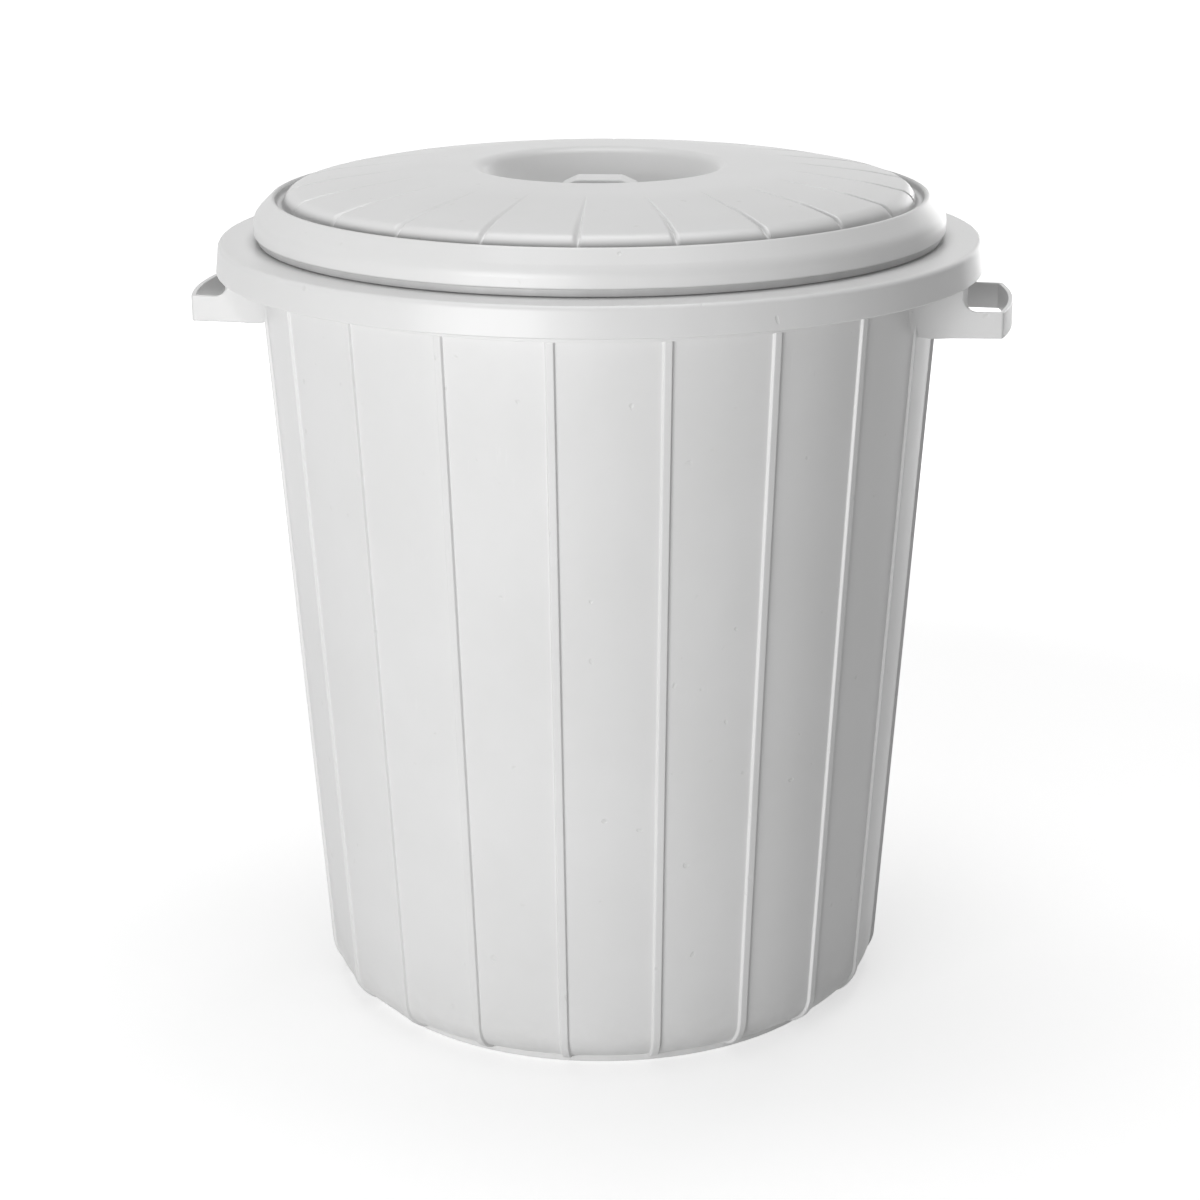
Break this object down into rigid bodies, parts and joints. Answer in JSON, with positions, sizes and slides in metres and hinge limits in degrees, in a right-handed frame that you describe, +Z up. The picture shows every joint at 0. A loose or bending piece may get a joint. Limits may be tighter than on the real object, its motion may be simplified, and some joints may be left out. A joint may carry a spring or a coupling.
{
  "type": "plastic bin with lid",
  "caption": "Round tapered plastic bin with upright ribs, a wide rim band, loop grips on both sides and a lift-off domed lid with a recessed strap grip.",
  "frame": {"origin": "on the floor, at the centre of the foot ring", "axes": "+Z up along the bin's axis, the loop grips on +X and -X, front towards -Y"},
  "size_m": [0.517, 0.4798, 0.5369],
  "materials": {
    "body_plastic": "light grey moulded polypropylene, semi-gloss",
    "lid_plastic": "light grey moulded polypropylene, semi-gloss",
    "grip_plastic": "light grey moulded polypropylene, semi-gloss"
  },
  "bodies": {
    "bin": {"bin_body": "body_plastic"},
    "lid": {"lid": "lid_plastic", "lid_grip": "grip_plastic"}
  },
  "joints": [
    {"name": "lid_lift", "type": "slide", "parent": "bin", "child": "lid", "axis": [0, 0, 1], "range_m": [0, 0.3]}
  ]
}
